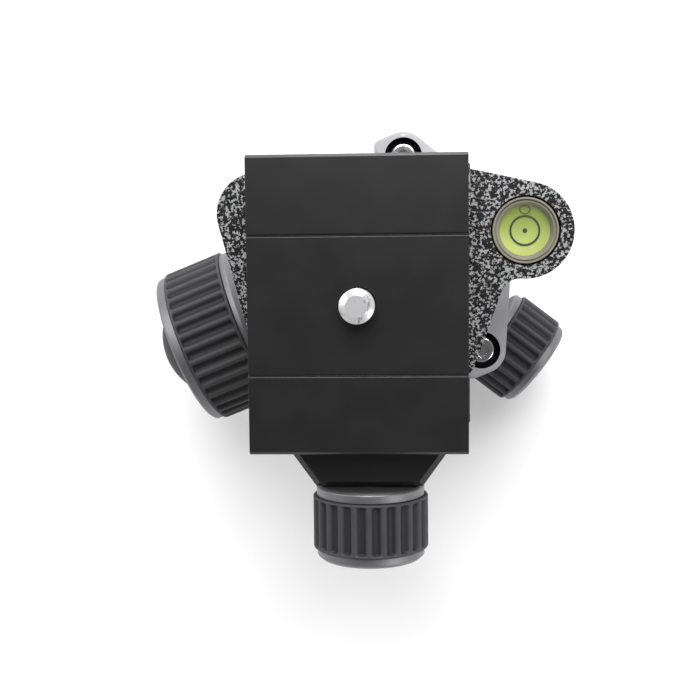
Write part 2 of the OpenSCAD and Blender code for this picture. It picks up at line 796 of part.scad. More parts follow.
module level_lens() {
    lens_z = level_floor + liquid_t;
    color("white") ball_at(seat_z - level_depth + lens_z) translate([level_x, level_y])
        drum(level_r - level_wall, level_depth - level_rim - lens_z);
}

// Plan of the jaw: a bar across the plate and a nose that narrows to the front.
module jaw_outline() {
    root = nose_w[0] / 2;
    tip = nose_w[1] / 2;
    foot = root + jaw_foot_w;
    back_y = front_y - jaw_play;
    step_y = plate_y - plate_w / 2 - gap;
    foot_y = step_y + jaw_foot_h;
    polygon([
        [-foot, back_y], [foot, back_y], [foot, foot_y], [root, step_y], [tip, -nose_y],
        [-tip, -nose_y], [-root, step_y], [-foot, foot_y]
    ]);
}

module moving_jaw() {
    h = nose_top - nose_bottom;
    floor_h = seat_z - jaw_gap - nose_bottom;
    color(black) difference() {
        union() {
            ball_at(nose_bottom) hull() {
                translate([0, 0, jaw_chamfer]) linear_extrude(floor_h - jaw_chamfer) jaw_outline();
                linear_extrude(jaw_chamfer) offset(delta = -jaw_chamfer) jaw_outline();
            }
            ball_at(nose_bottom) intersection() {
                hull() {
                    linear_extrude(h - jaw_chamfer) jaw_outline();
                    linear_extrude(h) offset(delta = -jaw_chamfer) jaw_outline();
                }
                translate([-far / 2, -far + plate_y - dovetail_foot - jaw_gap, 0]) cube([far, far, 2 * h]);
            }
            ball_at(seat_z) translate([0, plate_y, 0]) mirror([0, 1, 0])
                bar(plate_l - 2 * jaw_inset[1]) jaw_section();
        }
        clamp_at() cylinder(r = clamp_screw_r + gap, h = far);
        for (side = [-1, 1]) clamp_at(-front_y) translate([0, side * jaw_pin_x])
            cylinder(r = jaw_pin_r, h = jaw_pin_press + jaw_pin_gap);
    }
}

module jaw_pins() {
    color(chrome) for (side = [-1, 1]) clamp_at(-front_y - jaw_pin_len + jaw_pin_gap)
        translate([0, side * jaw_pin_x]) cylinder(r = jaw_pin_r, h = jaw_pin_len + jaw_pin_press);
}

module clamp_spindle() {
    from = clamp_spindle_spare - clamp_bore_end;
    color(chrome) clamp_at(from)
        cylinder(r = clamp_screw_r, h = nose_y + gap + small_knob_len - small_spindle_inset - from);
}

module clamp_knob_core() {
    color(silver) clamp_at(nose_y + gap) difference() {
        small_knob_core();
        translate([0, 0, -bite]) cylinder(r = clamp_screw_r, h = small_knob_len + 2 * bite);
    }
}

module clamp_knob_grip() {
    color(rubber) clamp_at(nose_y + gap) small_knob_grip();
}

// --- Camera plate ----------------------------------------------------------------------------

// Section across the plate, from its underside at z = 0.
module plate_section() {
    half = plate_w / 2;
    edge = plate_edge;
    groove = plate_groove;
    difference() {
        polygon([
            [-dovetail_foot, 0], [dovetail_foot, 0], [dovetail_foot, dovetail_land],
            [dovetail_neck, dovetail_h], [half - edge, dovetail_h], [half, dovetail_h + edge],
            [half, plate_t - edge], [half - edge, plate_t], [-half + edge, plate_t],
            [-half, plate_t - edge], [-half, dovetail_h + edge], [-half + edge, dovetail_h],
            [-dovetail_neck, dovetail_h], [-dovetail_foot, dovetail_land]
        ]);
        for (side = [-1, 1]) translate([side * groove_span / 2, plate_t])
            polygon([[-groove[0], bite], [-groove[0], 0], [0, -groove[1]], [groove[0], 0], [groove[0], bite]]);
    }
}

module camera_plate() {
    color(black) ball_at(seat_z) translate([plate_x, plate_y, 0]) difference() {
        bar(plate_l) plate_section();
        translate([0, 0, -bite]) cylinder(r = camera_screw_r + plate_hole_play, h = plate_t + 2 * bite);
        translate([0, 0, -bite]) cylinder(r = screw_head_r + gap, h = screw_lift + screw_head_t + clip_room + bite);
        for (side = [-1, 1]) translate([side * stop_x, stop_y, -bite])
            cylinder(r = stop_shank_r, h = stop_shank_h + gap + bite);
    }
}

module plate_stops() {
    color(chrome) for (side = [-1, 1]) ball_at(seat_z) translate([plate_x + side * stop_x, plate_y + stop_y, 0]) {
        translate([0, 0, -stop_drop]) cylinder(r = stop_r, h = stop_drop);
        cylinder(r = stop_shank_r, h = stop_shank_h);
    }
}

// 1/4 inch screw with a flat slotted head, held up in the plate's recess.
module camera_screw() {
    thread_h = camera_screw_h - screw_lift - screw_tip[1];
    color(chrome) ball_at(seat_z) translate([plate_x, plate_y, screw_lift]) difference() {
        union() {
            drum(screw_head_r, screw_head_t, 0.3);
            cylinder(r = screw_shank_r, h = plate_t + bite);
            translate([0, 0, plate_t]) cylinder(r = camera_screw_r, h = thread_h);
            translate([0, 0, plate_t + thread_h - bite])
                cylinder(r1 = camera_screw_r, r2 = camera_screw_r - screw_tip[0], h = screw_tip[1] + bite);
        }
        translate([-2 * screw_head_r, -screw_slot[0] / 2, -bite])
            cube([4 * screw_head_r, screw_slot[0], screw_slot[1] + bite]);
    }
}

module screw_clip() {
    color(silver) ball_at(seat_z + screw_lift + screw_head_t + clip_gap) translate([plate_x, plate_y, 0])
    difference() {
        cylinder(r = screw_shank_r + clip_w, h = clip_t);
        translate([0, 0, -bite]) cylinder(r = screw_shank_r + fit, h = clip_t + 2 * bite);
        translate([0, -clip_slot / 2, -bite]) cube([2 * screw_head_r, clip_slot, clip_t + 2 * bite]);
    }
}

base();
thread_insert();
pan_washer();
retaining_disc();
retaining_screw();
housing();
housing_cap();
cap_screws();
ball_seat();
lock_bush();
lock_piston();
brake_pad();
lock_spindle();
lock_knob_core();
lock_knob_grip();
friction_dial();
pan_shoe();
pan_spindle();
pan_knob_core();
pan_knob_grip();
ball();
ball_stem();
clamp_bolt();
clamp_casting();
level_cup();
level_liquid();
level_bubble();
level_lens();
moving_jaw();
jaw_pins();
clamp_spindle();
clamp_knob_core();
clamp_knob_grip();
camera_plate();
plate_stops();
camera_screw();
screw_clip();
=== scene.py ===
# %% [markdown]
# # A tripod ball head
# The construction comes ready made: every part at its real size, in metres, with its joints.
# Here each part gets its finish, and the parts that the eye rests on are modelled again with
# rounder edges, ribs and threads. +Z is up, and the clamp's knob points to -Y, the front.

# %% The frame
import json
import math

import bmesh
import bpy
from mathutils import Matrix, Vector

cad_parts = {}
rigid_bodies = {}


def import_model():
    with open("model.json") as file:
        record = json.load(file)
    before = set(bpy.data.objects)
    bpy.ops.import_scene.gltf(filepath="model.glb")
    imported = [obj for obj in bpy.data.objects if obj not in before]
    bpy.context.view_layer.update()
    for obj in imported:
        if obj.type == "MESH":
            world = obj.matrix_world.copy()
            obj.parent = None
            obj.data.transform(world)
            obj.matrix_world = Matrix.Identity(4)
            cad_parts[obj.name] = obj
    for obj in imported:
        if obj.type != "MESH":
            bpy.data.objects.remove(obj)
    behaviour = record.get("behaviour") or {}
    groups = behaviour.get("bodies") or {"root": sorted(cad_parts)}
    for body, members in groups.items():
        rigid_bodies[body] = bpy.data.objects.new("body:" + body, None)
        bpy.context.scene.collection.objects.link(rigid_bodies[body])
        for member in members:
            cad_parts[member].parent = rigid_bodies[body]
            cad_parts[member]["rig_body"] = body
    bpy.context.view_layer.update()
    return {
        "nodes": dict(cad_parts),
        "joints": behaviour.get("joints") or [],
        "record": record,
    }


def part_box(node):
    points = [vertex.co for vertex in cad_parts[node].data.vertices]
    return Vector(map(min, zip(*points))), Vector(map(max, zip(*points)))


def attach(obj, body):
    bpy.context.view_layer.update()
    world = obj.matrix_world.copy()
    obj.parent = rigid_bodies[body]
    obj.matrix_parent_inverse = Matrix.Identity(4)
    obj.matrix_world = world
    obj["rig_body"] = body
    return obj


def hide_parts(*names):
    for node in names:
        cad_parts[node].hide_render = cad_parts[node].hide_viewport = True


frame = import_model()
mm = 0.001
nodes = frame["nodes"]
joints = {joint["name"]: joint for joint in frame["joints"]}
print("parts:", len(nodes), "joints:", len(joints))

# %% [markdown]
# ## The camera
# The photograph looks down on the head from 19 cm above its plate, leaning a little to the front
# and left. A camera could be turned by hand until the picture fits. Here it is aimed by a point
# and a roll, because those can be worked out: lines that stand upright on the object run together
# in one point of the picture, and that point gives the camera's tilt.

# %% Camera
CAMERA_AT = Vector((1.0, 0.0, 268.0)) * mm
CAMERA_AIM = Vector((-8.735, -15.369, 78.0)) * mm
CAMERA_ROLL = math.radians(-0.585)
CAMERA_LENS = 55.29
FILM_WIDTH = 36
NEAR_CLIP = 0.01

camera_data = bpy.data.cameras.new("camera")
camera_data.lens = CAMERA_LENS
camera_data.sensor_width = FILM_WIDTH
camera_data.clip_start = NEAR_CLIP
camera = bpy.data.objects.new("camera", camera_data)
bpy.context.scene.collection.objects.link(camera)
look = (CAMERA_AIM - CAMERA_AT).normalized()
right = look.cross(Vector((0, 1, 0))).normalized()
upward = right.cross(look)
turn = Matrix((right, upward, -look)).transposed().to_4x4()
camera.matrix_world = Matrix.Translation(CAMERA_AT) @ turn @ Matrix.Rotation(CAMERA_ROLL, 4, "Z")
bpy.context.scene.camera = camera
bpy.context.scene.view_settings.view_transform = "Standard"
print("camera leans by", round(math.degrees(look.angle((0, 0, -1))), 1), "degrees")

# %% [markdown]
# ## Light and floor
# The head stands on a white table under a large soft light a little behind it, with white all
# round. Small lamps would leave hard spots on the black plate, so every light is a broad disc.

# %% Light and floor
def soft_light(name, at, aim, size, power):
    data = bpy.data.lights.new(name, "AREA")
    data.shape, data.size, data.energy = "DISK", size, power
    light = bpy.data.objects.new(name, data)
    bpy.context.scene.collection.objects.link(light)
    light.location = at
    light.rotation_euler = (Vector(aim) - Vector(at)).to_track_quat("-Z", "Y").to_euler()


HEAD_MIDDLE, PLATE_HEIGHT = (0, 0, 0.04), (0, 0, 0.07)
# The name, the place and the aim in metres, the width in metres and the power in watts.
LIGHTS = [
    ("back_softbox", (0.05, 0.62, 0.80), HEAD_MIDDLE, 0.85, 13.0),
    ("left_softbox", (-0.75, 0.30, 0.45), HEAD_MIDDLE, 0.40, 2.5),
    ("front_softbox", (0.62, -0.42, 0.55), HEAD_MIDDLE, 0.45, 2.5),
    ("back_window", (0.0, 0.90, 0.14), PLATE_HEIGHT, 0.30, 2.0),
]
for settings in LIGHTS:
    soft_light(*settings)

TABLE_R = 4.0
bm = bmesh.new()
bmesh.ops.create_circle(bm, cap_ends=True, segments=96, radius=TABLE_R)
floor_mesh = bpy.data.meshes.new("floor")
bm.to_mesh(floor_mesh)
bm.free()
floor = bpy.data.objects.new("floor", floor_mesh)
bpy.context.scene.collection.objects.link(floor)
print("lights:", len(LIGHTS), "table radius:", TABLE_R, "m")

# %% [markdown]
# ## Writing materials as sums
# A shader is a graph of nodes, and drawn by hand even a small sum takes many nodes and links. A
# short class wraps a socket instead, and lets Python's own operators add the nodes, so a finish
# reads as a few sums.

# %% Shader maths
class Value:
    """A socket of a shader that takes part in sums."""

    def __init__(self, tree, socket):
        self.tree, self.socket = tree, socket

    def sum(self, operation, first, second):
        return node(self.tree, "ShaderNodeMath", {"operation": operation}, {0: first, 1: second})

    def __add__(self, other):
        return self.sum("ADD", self, other)

    __radd__ = __add__

    def __sub__(self, other):
        return self.sum("SUBTRACT", self, other)

    def __rsub__(self, other):
        return self.sum("SUBTRACT", other, self)

    def __mul__(self, other):
        return self.sum("MULTIPLY", self, other)

    __rmul__ = __mul__

    def __pow__(self, power):
        return self.sum("POWER", self, power)

    def vector(self, operation, other=(0, 0, 0), output=0):
        """A sum on all three parts of a vector. Output "Value" gives a number, such as a length."""
        inputs = {0: self, 1: other}
        return node(self.tree, "ShaderNodeVectorMath", {"operation": operation}, inputs, output)

    def above(self, low, high):
        """0 below low, 1 above high and smooth between them."""
        settings = {"interpolation_type": "SMOOTHSTEP"}
        return node(self.tree, "ShaderNodeMapRange", settings, {0: self, 1: low, 2: high})


def node(tree, kind, settings=None, inputs=None, output=0):
    """Adds any node: its settings come first, then the values or links of its sockets."""
    made = tree.nodes.new(kind)
    for key, value in (settings or {}).items():
        setattr(made, key, value)
    for key, value in (inputs or {}).items():
        if isinstance(value, Value):
            tree.links.new(value.socket, made.inputs[key])
        else:
            made.inputs[key].default_value = value
    return Value(tree, made.outputs[output])


# %% [markdown]
# A real surface is never one even tone. Noise gives every finish its clouds and its grain, a mix
# turns that into colours, and a bump lets the light see the grain as relief. The grain could be
# put in the meshes too, but it is finer than any face would be.

# %% Colours, noise and bumps
# The Mix node has sockets of the same name for each kind of value, so those for colours go by number.
SHARE, FIRST_COLOUR, SECOND_COLOUR, MIXED_COLOUR = 0, 6, 7, 2


def mixed(tree, share, first, second):
    """A colour between two others."""
    first, second = [(*c, 1.0) if isinstance(c, tuple) else c for c in (first, second)]
    inputs = {SHARE: share, FIRST_COLOUR: first, SECOND_COLOUR: second}
    return node(tree, "ShaderNodeMix", {"data_type": "RGBA"}, inputs, MIXED_COLOUR)


def object_place(tree):
    """Where a point lies in the piece's own coordinates."""
    return node(tree, "ShaderNodeTexCoord", output="Object")


def noise(tree, size, detail=2.0, roughness=0.5, stretch=(1, 1, 1)):
    """Cloudy noise whose patches are about size metres across, on the piece's own coordinates."""
    place = node(tree, "ShaderNodeMapping", None, {"Vector": object_place(tree), "Scale": stretch})
    inputs = {"Vector": place, "Scale": 1 / size, "Detail": detail, "Roughness": roughness}
    return node(tree, "ShaderNodeTexNoise", None, inputs)


def bump(tree, height, distance, strength):
    """Relief that only the light sees, up to distance metres high."""
    inputs = {"Strength": strength, "Distance": distance, "Height": height}
    return node(tree, "ShaderNodeBump", None, inputs)


# %% [markdown]
# A material starts with plain values. A recipe is a function that then works out some of them over
# the surface, so finishes of one kind share a recipe and differ in the values they give it.

# %% Materials
def material(name, colour, rough, metal, recipe=None, **fixed):
    """A surface with plain values, then whatever the recipe works out over the surface."""
    made = bpy.data.materials.new(name)
    made.use_nodes = True
    tree = made.node_tree
    shader = tree.nodes["Principled BSDF"]
    shader.inputs["Base Color"].default_value = (*colour, 1.0)
    shader.inputs["Roughness"].default_value = rough
    shader.inputs["Metallic"].default_value = metal
    for key, value in fixed.items():
        shader.inputs[key.replace("_", " ")].default_value = value
    if recipe:
        for key, value in recipe(tree).items():
            tree.links.new(value.socket, shader.inputs[key])
    return made


finishes = {}


def add_finish(name, colour, rough, metal, recipe, *values, **fixed):
    """A material for the finish name, whose recipe gets the further values."""
    finishes[name] = material(name, colour, rough, metal, lambda tree: recipe(tree, *values), **fixed)


# %% [markdown]
# ## Anodised metal and painted casting
# Anodised aluminium is bead-blasted first, so its gloss is broken up by a grain too fine to see
# as relief. The casting's paint splits into black worms on silver as it dries. A picture of it
# would blur close up, so noise cut near its middle draws the worms at any distance. The silver
# lies lower than the black.

# %% Black anodised and speckled
BLACK_FROM, BLACK_TO = 0.445, 0.475


def blasted(tree, dark, light, low, high):
    """Bead-blasted and anodised metal, in cloudy tones from dark to light."""
    grain = noise(tree, 0.22 * mm, 3)
    clouds = noise(tree, 7 * mm, 2)
    return {
        "Base Color": mixed(tree, clouds.above(0.3, 0.7), dark, light),
        "Roughness": low + (high - low) * clouds,
        "Normal": bump(tree, grain, 0.012 * mm, 0.35),
    }


def speckle(tree):
    """Paint that has split into black worms on silver flakes."""
    worms = noise(tree, 0.55 * mm, 2.5, 0.66)
    flakes = noise(tree, 0.12 * mm, 1.0)
    black = worms.above(BLACK_FROM, BLACK_TO)
    silver = mixed(tree, flakes, (0.20, 0.20, 0.203), (0.66, 0.66, 0.665))
    return {
        "Base Color": mixed(tree, black, silver, (0.004, 0.004, 0.005)),
        "Metallic": 0.5 - 0.5 * black,
        "Roughness": 0.32 + 0.06 * black,
        "Normal": bump(tree, black, 0.05 * mm, 0.6),
    }


add_finish("black_anodised", (0.02, 0.02, 0.022), 0.35, 0.0, blasted,
           (0.0088, 0.0088, 0.0093), (0.0104, 0.0104, 0.0109), 0.27, 0.33)
add_finish("speckled_casting", (0.3, 0.3, 0.3), 0.4, 0.5, speckle, Specular_IOR_Level=0.3)
print("finishes:", ", ".join(finishes))

# %% [markdown]
# ## Rubber and plastic
# The knobs' rubber is matt grey on its ridges and black in its grooves, where the black is painted
# shade, the shade that lies deep in each groove. The ridges could be painted on one by one. The
# distance to the knob's axis tells a ridge from a groove just as well, and holds for every knob.

# %% Moulded, with painted shade in the grooves
def moulded(tree, dark, light):
    """Moulded rubber or plastic with a fine grain."""
    grain = noise(tree, 0.16 * mm, 4, 0.6)
    clouds = noise(tree, 5 * mm, 2)
    return {
        "Base Color": mixed(tree, clouds, dark, light),
        "Roughness": 0.58 + 0.16 * grain,
        "Normal": bump(tree, grain, 0.02 * mm, 0.5),
    }


def groove_shaded_rubber(tree, place, radius, depth):
    """Rubber with painted shade in its grooves, told from its ridges by the distance to the knob's axis.
    """
    values = moulded(tree, (0.022, 0.022, 0.025), (0.040, 0.040, 0.044))
    spot = object_place(tree).vector("SUBTRACT", tuple(place.translation))
    along = spot.vector("DOT_PRODUCT", tuple(place.col[2].xyz), output="Value")
    out = (spot.vector("LENGTH", output="Value") ** 2 - along ** 2) ** 0.5
    top = out.above(radius - 0.85 * depth, radius - 0.10 * depth)
    # Painted shade: the grooves, nearer the axis, are coloured darker than the ridges.
    values["Base Color"] = mixed(tree, top, (0.0055, 0.0055, 0.0065), values["Base Color"])
    return values


add_finish("rubber", (0.03, 0.03, 0.03), 0.62, 0.0, moulded, (0.013, 0.013, 0.0145), (0.021, 0.021, 0.023))
add_finish("nylon", (0.78, 0.77, 0.70), 0.5, 0.0, moulded, (0.72, 0.71, 0.64), (0.80, 0.79, 0.72))
add_finish("dial_plastic", (0.02, 0.02, 0.02), 0.5, 0.0, moulded,
           (0.012, 0.012, 0.013), (0.018, 0.018, 0.019))
print("finishes:", len(finishes))

# %% [markdown]
# ## Painted housing
# The housing is cast and painted silver, and the counterbores of its two screws lie deep in shade.
# That shade is painted. A counterbore could be a piece of its own, but it is cheaper as a tone: what
# lies within its radius of a screw's axis is painted dark as shade. The screws' places are measured
# on the parts.

# %% Silver paint
def middle_of(points):
    """The middle of the box round some points, seen from above."""
    return tuple((min(p[i] for p in points) + max(p[i] for p in points)) / 2 for i in (0, 1))


RECESS_R = 3.94 * mm
RECESS_EDGE = 0.02 * mm
screw_points = [v.co for v in nodes["cap_screws"].data.vertices]
screws_low, screws_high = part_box("cap_screws")
half_way = (screws_low.y + screws_high.y) / 2
screw_spots = [middle_of([p for p in screw_points if (p.y > half_way) == rear]) for rear in (True, False)]
print("cap screws at", [[round(c / mm, 1) for c in spot] for spot in screw_spots])


def cast(tree, dark, light, shade):
    """Painted casting in cloudy tones from dark to light, with painted shade in the counterbores."""
    grain = noise(tree, 0.30 * mm, 4, 0.6)
    clouds = noise(tree, 9 * mm, 2)
    flat = object_place(tree).vector("MULTIPLY", (1, 1, 0))
    # Painted shade: near each screw's axis the paint turns dark, for the shade deep in the counterbore.
    counterbore_shade = 0.0
    for x, y in screw_spots:
        near = flat.vector("SUBTRACT", (x, y, 0)).vector("LENGTH", output="Value")
        counterbore_shade = counterbore_shade + (1 - near.above(RECESS_R - RECESS_EDGE, RECESS_R))
    paint = mixed(tree, clouds.above(0.3, 0.7), dark, light)
    return {
        "Base Color": mixed(tree, counterbore_shade, paint, shade),
        "Roughness": 0.34 + 0.16 * grain,
        "Normal": bump(tree, grain, 0.02 * mm, 0.45),
    }


add_finish("silver_paint", (0.7, 0.7, 0.72), 0.4, 0.25, cast,
           (0.39, 0.39, 0.405), (0.44, 0.44, 0.455), (0.014, 0.014, 0.016))

# %% [markdown]
# ## Bare metal
# Turned and plated parts shine, with fine scratches that spread their gloss. The camera screw's
# end has been handled most, so grey smudges lie on it. All of these are noise, because real
# scratches and smudges have no pattern that would be worth drawing.

# %% Turned and plated
def turned_metal(tree, dark, light, low=0.24, high=0.36):
    """Bare metal in cloudy tones, with a roughness between low and high."""
    scratch = noise(tree, 0.35 * mm, 3, 0.6)
    clouds = noise(tree, 4 * mm, 2)
    return {
        "Base Color": mixed(tree, clouds, dark, light),
        "Roughness": low + (high - low) * scratch,
        "Normal": bump(tree, scratch, 0.004 * mm, 0.4),
    }


def smudged(tree):
    """Bright plating on the screw's end, with the grey smudges that handling leaves."""
    smudge = noise(tree, 1.3 * mm, 4, 0.65, (1.0, 0.45, 1.0))
    grain = noise(tree, 0.20 * mm, 3)
    dirt = smudge.above(0.56, 0.70)
    return {
        "Base Color": mixed(tree, 0.75 * dirt, (0.58, 0.58, 0.59), (0.09, 0.09, 0.095)),
        "Roughness": 0.30 + 0.25 * dirt,
        "Normal": bump(tree, grain, 0.006 * mm, 0.5),
    }


add_finish("silver", (0.6, 0.6, 0.62), 0.3, 1.0, turned_metal,
           (0.18, 0.18, 0.187), (0.23, 0.23, 0.24), 0.44, 0.56)
add_finish("steel", (0.75, 0.75, 0.77), 0.2, 1.0, turned_metal,
           (0.72, 0.72, 0.73), (0.82, 0.82, 0.84), 0.12, 0.24)
add_finish("ball_finish", (0.5, 0.5, 0.52), 0.16, 1.0, turned_metal,
           (0.40, 0.40, 0.42), (0.48, 0.48, 0.50), 0.10, 0.18)
add_finish("bronze", (0.55, 0.38, 0.18), 0.35, 1.0, turned_metal, (0.50, 0.34, 0.15), (0.62, 0.44, 0.22))
add_finish("screw_tip", (0.8, 0.8, 0.82), 0.4, 0.55, smudged)
floor_finish = material("white_table", (0.93, 0.93, 0.93), 0.7, 0.0)
floor_mesh.materials.append(floor_finish)
print("finishes:", len(finishes))

# %% [markdown]
# ## Sky
# The room round the table is white. An even sky would also show in the black plate, which lies
# flat and mirrors what is overhead. So the sky falls off towards the zenith: the plate stays
# black, while its edges, which look sideways, catch the white.

# %% Sky
SKY_SIDE, SKY_TOP = 0.72, 0.12
SKY_FROM, SKY_TO = 0.35, 0.95
world = bpy.data.worlds.new("studio")
world.use_nodes = True
sky = world.node_tree
direction = node(sky, "ShaderNodeTexCoord", output="Generated")
height = node(sky, "ShaderNodeSeparateXYZ", None, {0: direction}, output="Z")
strength = SKY_SIDE + (SKY_TOP - SKY_SIDE) * height.above(SKY_FROM, SKY_TO)
sky.links.new(strength.socket, sky.nodes["Background"].inputs["Strength"])
sky.nodes["Background"].inputs["Color"].default_value = (1, 1, 1, 1)
bpy.context.scene.world = world
print("sky from", SKY_SIDE, "to", SKY_TOP)

# %% [markdown]
# ## Making pieces
# A piece is built in a frame of its own, with +Z along its axis, and its place is then put into
# the mesh. Its object could be moved there instead, but the joints turn objects that stand at the
# origin. The places and radii are measured on the parts, so the pieces fit them.

# %% Places
def shift(x, y, z=0.0):
    return Matrix.Translation((x, y, z))


def joint_axis(name):
    """Puts local +Z on a joint's axis, with the origin on the joint's point."""
    joint = joints[name]
    turned_to = Vector(joint["axis"]).to_track_quat("Z", "Y").to_matrix().to_4x4()
    return Matrix.Translation(joint["pos_m"]) @ turned_to


def reach(name, place):
    """Where a part starts and ends along a place's +Z, and its largest radius round it."""
    inverse = place.inverted()
    spots = [inverse @ vertex.co for vertex in nodes[name].data.vertices]
    heights = [spot.z for spot in spots]
    return min(heights), max(heights), max(math.hypot(spot.x, spot.y) for spot in spots)


ball_place = joint_axis("ball_spin")
ball_x, ball_y, _ = ball_place.translation
print("ball at", round(ball_x / mm, 2), round(ball_y / mm, 2))

# %% [markdown]
# Every sharp edge gets a small bevel, because a real edge is never sharp, and that thin line of
# light is what makes it look solid. Turned pieces are half outlines spun round +Z. The weighted
# normals keep large flat faces flat beside their bevels.

# %% Edges, finishing and turning
def round_over(bm, edges, width, segments):
    bmesh.ops.bevel(bm, geom=edges, offset=width, offset_type="OFFSET", segments=segments,
                    profile=0.5, affect="EDGES", clamp_overlap=True, material=-1)


def soften(bm, width, segments=3, angle=28):
    """Rounds every edge that is sharper than angle."""
    sharp = [e for e in bm.edges if e.is_manifold and e.calc_face_angle() > math.radians(angle)]
    round_over(bm, sharp, width, segments)


def finished(bm, name, finish, body, place=Matrix(), replaces=(), smooth=30):
    """Turns a bmesh into a piece that rides on its body."""
    bm.transform(place)
    bmesh.ops.recalc_face_normals(bm, faces=bm.faces)
    mesh = bpy.data.meshes.new(name)
    bm.to_mesh(mesh)
    bm.free()
    mesh.shade_smooth()
    mesh.set_sharp_from_angle(angle=math.radians(smooth))
    mesh.materials.append(finishes[finish])
    piece = bpy.data.objects.new(name, mesh)
    bpy.context.scene.collection.objects.link(piece)
    even = piece.modifiers.new("even_shading", "WEIGHTED_NORMAL")
    even.mode, even.keep_sharp = "FACE_AREA", True
    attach(piece, body)
    if replaces:
        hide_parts(*replaces)
    print(name, len(mesh.polygons), "faces")
    return piece


def turned(outline, steps=128):
    """Spins (radius, height) points round +Z. An outline that starts and ends on the axis is solid."""
    bm = bmesh.new()
    points = [bm.verts.new((radius, 0, height)) for radius, height in outline]
    ends_on_axis = outline[0][0] == outline[-1][0] == 0
    pairs = list(zip(points, points[1:])) + ([] if ends_on_axis else [(points[-1], points[0])])
    lines = [bm.edges.new(pair) for pair in pairs]
    bmesh.ops.spin(bm, geom=points + lines, axis=(0, 0, 1), cent=(0, 0, 0),
                   angle=2 * math.pi, steps=steps, use_merge=True)
    bmesh.ops.remove_doubles(bm, verts=bm.verts, dist=1e-7)
    bmesh.ops.recalc_face_normals(bm, faces=bm.faces)
    return bm


# %% [markdown]
# ## Knobs
# A knob is a turned aluminium spool with a rubber grip between its two silver rings. The grooves
# could be cut from a ring one by one, but they would keep sharp edges. Instead one ridge is drawn
# as a strip across, run along the knob row by row, and copied round the axis. The grooves stop
# short of both ends, where the rubber rolls over.

# %% The rubber grip
RIDGE_COLUMNS = 12
ROLL_R = 0.35 * mm
RUN_OUT = 0.6 * mm
RUN_OUT_STEPS = 5
FLANK_FROM, FLANK_TO = 0.07, 0.40


def ease(low, high, value):
    """0 at low, 1 at high and smooth between them."""
    share = min(1.0, max(0.0, (value - low) / (high - low)))
    return share * share * (3 - 2 * share)


def ribbed_grip(start, end, radius, bore, ridges, depth, land):
    """Rubber ring with round ridges, whose grooves start a land's length from its ends."""
    pitch = 2 * math.pi / ridges
    rows = [(start, bore, 0), (start, radius - ROLL_R, 0)]
    rows += [(start + ROLL_R * (1 - math.cos(a)), radius - ROLL_R * (1 - math.sin(a)), 0)
             for a in (math.pi / 6, math.pi / 3, math.pi / 2)]
    rows += [(start + land + share * RUN_OUT, radius, ease(0, 1, share))
             for share in (i / RUN_OUT_STEPS for i in range(RUN_OUT_STEPS + 1))]
    rows += [(start + end - height, r, cut) for height, r, cut in reversed(rows)]
    rows.append(rows[0])

    def moved(vertex, row):
        height, base, cut = row
        turn = math.atan2(vertex.co.y, vertex.co.x)
        share = abs(turn / pitch)
        r = base - depth * cut * ease(FLANK_FROM, FLANK_TO, share)
        vertex.co = (r * math.cos(turn), r * math.sin(turn), height)

    bm = bmesh.new()
    turns = [(i / RIDGE_COLUMNS - 0.5) * pitch for i in range(RIDGE_COLUMNS + 1)]
    line = [bm.verts.new((math.cos(t), math.sin(t), 0)) for t in turns]
    strip = [bm.edges.new(pair) for pair in zip(line, line[1:])]
    for vertex in line:
        moved(vertex, rows[0])
    for row in rows[1:]:
        grown = bmesh.ops.extrude_edge_only(bm, edges=strip)["geom"]
        fresh = {v for v in grown if isinstance(v, bmesh.types.BMVert)}
        strip = [e for e in grown if isinstance(e, bmesh.types.BMEdge) and set(e.verts) <= fresh]
        for vertex in fresh:
            moved(vertex, row)
    everything = bm.verts[:] + bm.edges[:] + bm.faces[:]
    bmesh.ops.spin(bm, geom=everything, axis=(0, 0, 1), cent=(0, 0, 0),
                   angle=2 * math.pi - pitch, steps=ridges - 1, use_duplicate=True)
    bmesh.ops.remove_doubles(bm, verts=bm.verts, dist=1e-6)
    return bm


print("ridge strip:", RIDGE_COLUMNS, "faces across")

# %% [markdown]
# Every knob gets its grip in the same way. Its length and radius are those of the part. The spool
# differs from knob to knob, apart from the hollow between its rings in which the rubber lies.

# %% A knob's grip and its bed
GRIP_WALL = 2.1 * mm
BED_GAP = 0.05 * mm


def bed(ring_r, bore, grip):
    """The hollow between a spool's two rings."""
    low, high, bottom = grip[0] - BED_GAP, grip[1] + BED_GAP, bore - BED_GAP
    return [(ring_r, low), (bottom, low), (bottom, high), (ring_r, high)]


def knob(name, joint, body, ridges, depth, land):
    """Makes a knob's grip. Gives its place, where grip and core end, and the grip's bore."""
    place = joint_axis(joint)
    start, end, radius = reach(name + "_grip", place)
    core_start, core_end, core_radius = reach(name + "_core", place)
    bore = radius - GRIP_WALL
    grip = ribbed_grip(start, end, radius, bore, ridges, depth, land)
    finish = name + "_rubber"
    # The grip's finish has painted shade in its grooves.
    finishes[finish] = material(finish, (0.03, 0.03, 0.03), 0.62, 0.0,
                                lambda t: groove_shaded_rubber(t, place, radius, depth))
    finished(grip, finish, finish, body, place, [name + "_grip"], smooth=50)
    return place, (start, end), (core_start, core_end, core_radius), bore


# %% [markdown]
# The spool of the large knob is open at its outer end and holds the friction dial, a black
# plastic dome. The spool is spun from its half outline, as it would be turned on a lathe.

